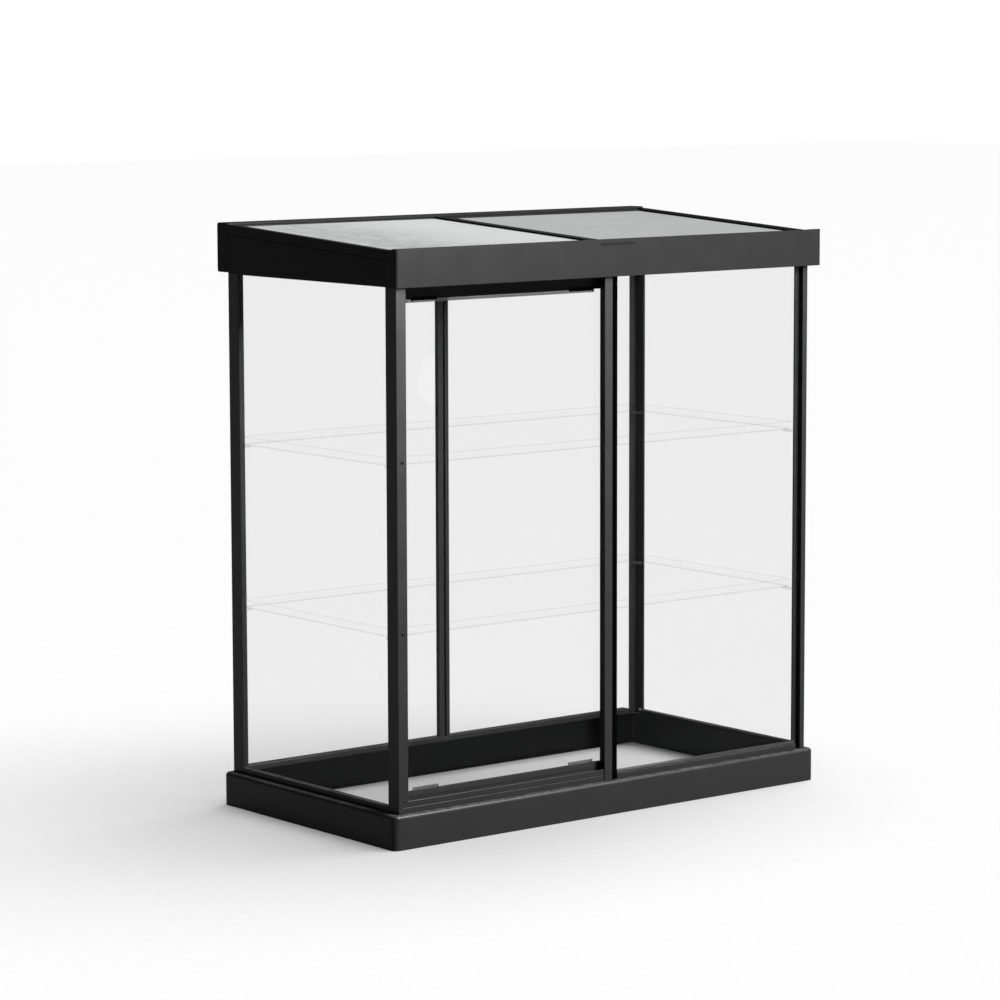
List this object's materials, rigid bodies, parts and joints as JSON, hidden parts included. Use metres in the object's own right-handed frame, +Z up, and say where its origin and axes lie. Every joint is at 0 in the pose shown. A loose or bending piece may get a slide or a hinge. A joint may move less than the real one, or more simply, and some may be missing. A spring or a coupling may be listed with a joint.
{
  "type": "glazed lean-to display cabinet",
  "caption": "Floor-standing glazed cabinet with a dark metal frame on an open plinth, clear shelves, a sliding front door and a sloping ribbed roof with a hinged panel.",
  "frame": {"origin": "under the middle of the cabinet, on the floor it stands on", "axes": "+X to the right along the front, +Y from the front to the back, +Z up"},
  "size_m": [1.32, 0.715, 1.418],
  "materials": {
    "coated_aluminium": "black powder coat, satin",
    "black_rubber": "matt black",
    "clear_glass": "clear, polished",
    "clear_shelf": "clear, polished",
    "clear_plastic": "clear, glossy",
    "ribbed_panel": "translucent, fine ribs"
  },
  "bodies": {
    "cabinet": {"back_glass_left": "clear_glass", "back_glass_right": "clear_glass", "back_middle_post": "coated_aluminium", "back_rail_end_left": "coated_aluminium", "back_rail_end_right": "coated_aluminium", "back_sill": "coated_aluminium", "bracket_lower_back_left": "clear_plastic", "bracket_lower_back_right": "clear_plastic", "bracket_lower_front_left": "clear_plastic", "bracket_lower_front_right": "clear_plastic", "bracket_upper_back_left": "clear_plastic", "bracket_upper_back_right": "clear_plastic", "bracket_upper_front_left": "clear_plastic", "bracket_upper_front_right": "clear_plastic", "corner_post_back_left": "coated_aluminium", "corner_post_back_right": "coated_aluminium", "corner_post_front_left": "coated_aluminium", "corner_post_front_right": "coated_aluminium", "door_lower_track": "coated_aluminium", "door_threshold": "coated_aluminium", "door_upper_track": "coated_aluminium", "fascia_centre_trim": "black_rubber", "fascia_end_left": "coated_aluminium", "fascia_end_right": "coated_aluminium", "front_glass_fixed": "clear_glass", "front_head_rail": "coated_aluminium", "front_mullion": "coated_aluminium", "front_sill_left": "coated_aluminium", "front_sill_right": "coated_aluminium", "mullion_gasket": "black_rubber", "plinth_back": "coated_aluminium", "plinth_front": "coated_aluminium", "plinth_left": "coated_aluminium", "plinth_right": "coated_aluminium", "roof_back_rail": "coated_aluminium", "roof_fascia": "coated_aluminium", "roof_glazing_bar": "coated_aluminium", "roof_panel_fixed": "ribbed_panel", "roof_side_left": "coated_aluminium", "roof_side_right": "coated_aluminium", "shelf_lower": "clear_shelf", "shelf_upper": "clear_shelf", "side_glass_left": "clear_glass", "side_glass_right": "clear_glass", "side_sill_left": "coated_aluminium", "side_sill_right": "coated_aluminium"},
    "door": {"door_bottom_rail": "coated_aluminium", "door_edge_strip": "clear_plastic", "door_glass": "clear_glass", "door_shoe_bottom_left": "clear_plastic", "door_shoe_bottom_right": "clear_plastic", "door_shoe_top_left": "black_rubber", "door_shoe_top_right": "black_rubber", "door_top_rail": "coated_aluminium", "door_top_seal": "clear_plastic"},
    "roof_hatch": {"hatch_bar_front": "coated_aluminium", "hatch_bar_left": "coated_aluminium", "hatch_bar_right": "coated_aluminium", "hatch_hinge_bar": "coated_aluminium", "hatch_panel": "ribbed_panel"}
  },
  "joints": [
    {"name": "door_slide", "type": "slide", "parent": "cabinet", "child": "door", "axis": [1, 0, 0], "range_m": [0, 0.6]},
    {"name": "hatch_hinge", "type": "hinge", "parent": "cabinet", "child": "roof_hatch", "pos_m": [0.3096, 0.3083, 1.40648], "axis": [-1, 0, 0], "range_deg": [0, 60]}
  ]
}
